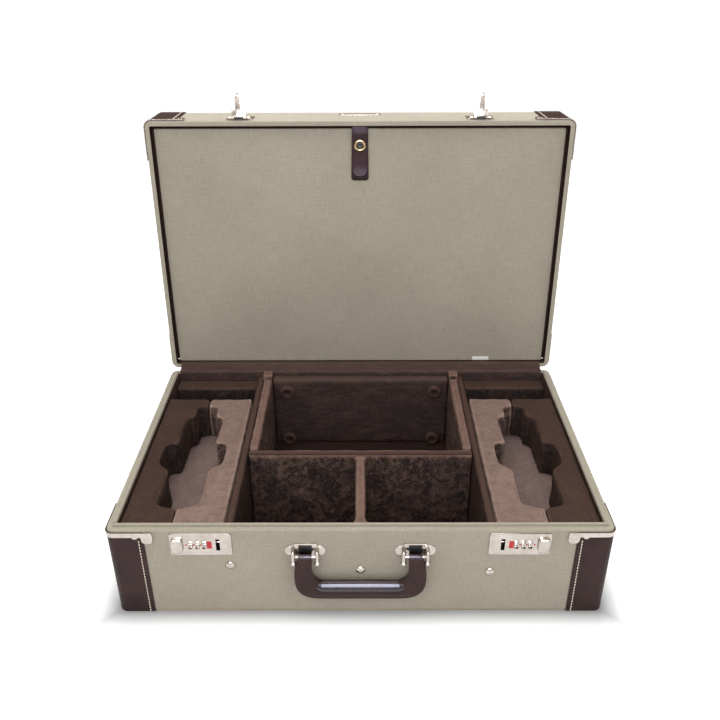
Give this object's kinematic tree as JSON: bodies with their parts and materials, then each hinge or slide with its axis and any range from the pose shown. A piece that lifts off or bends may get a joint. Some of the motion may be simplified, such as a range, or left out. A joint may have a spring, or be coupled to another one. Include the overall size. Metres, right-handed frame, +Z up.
{
  "type": "microphone case",
  "caption": "Hinged hard case with combination locks, a carrying handle, padded velvet compartments, shaped microphone trays and a strapped pocket panel in the lid",
  "frame": {"origin": "centre of the bottom face that the case rests on, midway between the outer faces of its cloth", "axes": "+X to the viewer's right along the case's width, +Y from the handle side to the hinge side, +Z up; the lid is open at rest"},
  "size_m": [0.6054, 0.4941, 0.5503],
  "materials": {
    "board": "satin plywood",
    "linen": "woven linen",
    "velvet_light": "plush velvet",
    "velvet_dark": "plush velvet",
    "foam": "foam block",
    "leather": "smooth grained leather",
    "nickel": "bright nickel",
    "steel": "plain steel",
    "red_index": "red enamel"
  },
  "bodies": {
    "base": {"base_bottom_board": "board", "base_front_board": "board", "base_rear_board": "board", "base_side_boards": "board", "base_bottom_cloth": "linen", "base_side_cloth": "linen", "rim_lip": "linen", "wall_velvet": "velvet_dark", "floor_velvet": "velvet_dark", "base_leather_front": "leather", "base_leather_rear": "leather", "base_brackets": "nickel", "long_dividers": "velvet_dark", "rear_side_pads": "velvet_light", "rear_back_pad": "velvet_light", "cross_divider": "velvet_light", "centre_divider": "velvet_light", "foot_cups": "velvet_dark", "rear_ledges": "velvet_light", "tray_blocks": "foam", "tray_left_outer": "velvet_dark", "tray_left_inner": "velvet_light", "tray_right_outer": "velvet_dark", "tray_right_inner": "velvet_light", "cavity_floors": "velvet_light", "lock_plates": "nickel", "lock_cases": "steel", "index_plates": "red_index", "dial_axles": "steel", "handle_mounts": "nickel", "handle_pins": "nickel", "divider_screws": "nickel", "hinge_base_leaf": "nickel", "hinge_pin": "steel", "hinge_velvet": "velvet_dark"},
    "slider_left": {"slider_left": "nickel"},
    "slider_right": {"slider_right": "nickel"},
    "handle": {"handle_core": "steel", "handle_leather": "leather"},
    "lid": {"hinge_lid_leaf": "nickel", "lid_roof_board": "board", "lid_wall_boards": "board", "lid_cloth": "linen", "lid_leather": "leather", "lid_brackets": "nickel", "lid_battens": "board", "lid_plate": "nickel", "strap_anchor": "leather", "hasp_plates": "nickel"},
    "hasp_left": {"hasp_left": "nickel"},
    "hasp_right": {"hasp_right": "nickel"},
    "pocket_panel": {"pocket_panel": "linen", "strap_patch": "leather"},
    "strap": {"strap": "leather"},
    "dial_left_outer": {"dial_left_outer": "nickel"},
    "dial_left_middle": {"dial_left_middle": "nickel"},
    "dial_left_inner": {"dial_left_inner": "nickel"},
    "dial_right_inner": {"dial_right_inner": "nickel"},
    "dial_right_middle": {"dial_right_middle": "nickel"},
    "dial_right_outer": {"dial_right_outer": "nickel"}
  },
  "joints": [
    {"name": "lid_hinge", "type": "hinge", "parent": "base", "child": "lid", "pos_m": [0, 0.1938, 0.1302], "axis": [1, 0, 0], "range_deg": [0, 92.6]},
    {"name": "handle_swing", "type": "hinge", "parent": "base", "child": "handle", "pos_m": [0, -0.2, 0.097], "axis": [-1, 0, 0], "range_deg": [0, 105]},
    {"name": "slider_left_push", "type": "slide", "parent": "base", "child": "slider_left", "axis": [1, 0, 0], "range_m": [0, 0.004], "stiffness_N_per_m": 150},
    {"name": "slider_right_push", "type": "slide", "parent": "base", "child": "slider_right", "axis": [-1, 0, 0], "range_m": [0, 0.004], "stiffness_N_per_m": 150},
    {"name": "dial_left_outer_turn", "type": "hinge", "parent": "base", "child": "dial_left_outer", "pos_m": [-0.2012, -0.1872, 0.1095], "axis": [1, 0, 0], "continuous": true},
    {"name": "dial_left_middle_turn", "type": "hinge", "parent": "base", "child": "dial_left_middle", "pos_m": [-0.193, -0.1872, 0.1095], "axis": [1, 0, 0], "continuous": true},
    {"name": "dial_left_inner_turn", "type": "hinge", "parent": "base", "child": "dial_left_inner", "pos_m": [-0.1848, -0.1872, 0.1095], "axis": [1, 0, 0], "continuous": true},
    {"name": "dial_right_outer_turn", "type": "hinge", "parent": "base", "child": "dial_right_outer", "pos_m": [0.2012, -0.1872, 0.1095], "axis": [1, 0, 0], "continuous": true},
    {"name": "dial_right_middle_turn", "type": "hinge", "parent": "base", "child": "dial_right_middle", "pos_m": [0.193, -0.1872, 0.1095], "axis": [1, 0, 0], "continuous": true},
    {"name": "dial_right_inner_turn", "type": "hinge", "parent": "base", "child": "dial_right_inner", "pos_m": [0.1848, -0.1872, 0.1095], "axis": [1, 0, 0], "continuous": true},
    {"name": "hasp_left_swing", "type": "hinge", "parent": "lid", "child": "hasp_left", "pos_m": [-0.1686, 0.22, 0.51761], "axis": [1, 0, 0], "range_deg": [-75, 90]},
    {"name": "hasp_right_swing", "type": "hinge", "parent": "lid", "child": "hasp_right", "pos_m": [0.1686, 0.22, 0.51761], "axis": [1, 0, 0], "range_deg": [-75, 90]},
    {"name": "pocket_hinge", "type": "hinge", "parent": "lid", "child": "pocket_panel", "pos_m": [0, 0.2051, 0.1432], "axis": [-1, 0, 0], "range_deg": [-80, 0]},
    {"name": "strap_lift", "type": "hinge", "parent": "lid", "child": "strap", "pos_m": [0, 0.21512, 0.50702], "axis": [1, 0, 0], "range_deg": [-90, 0], "deforming": ["strap"]}
  ]
}
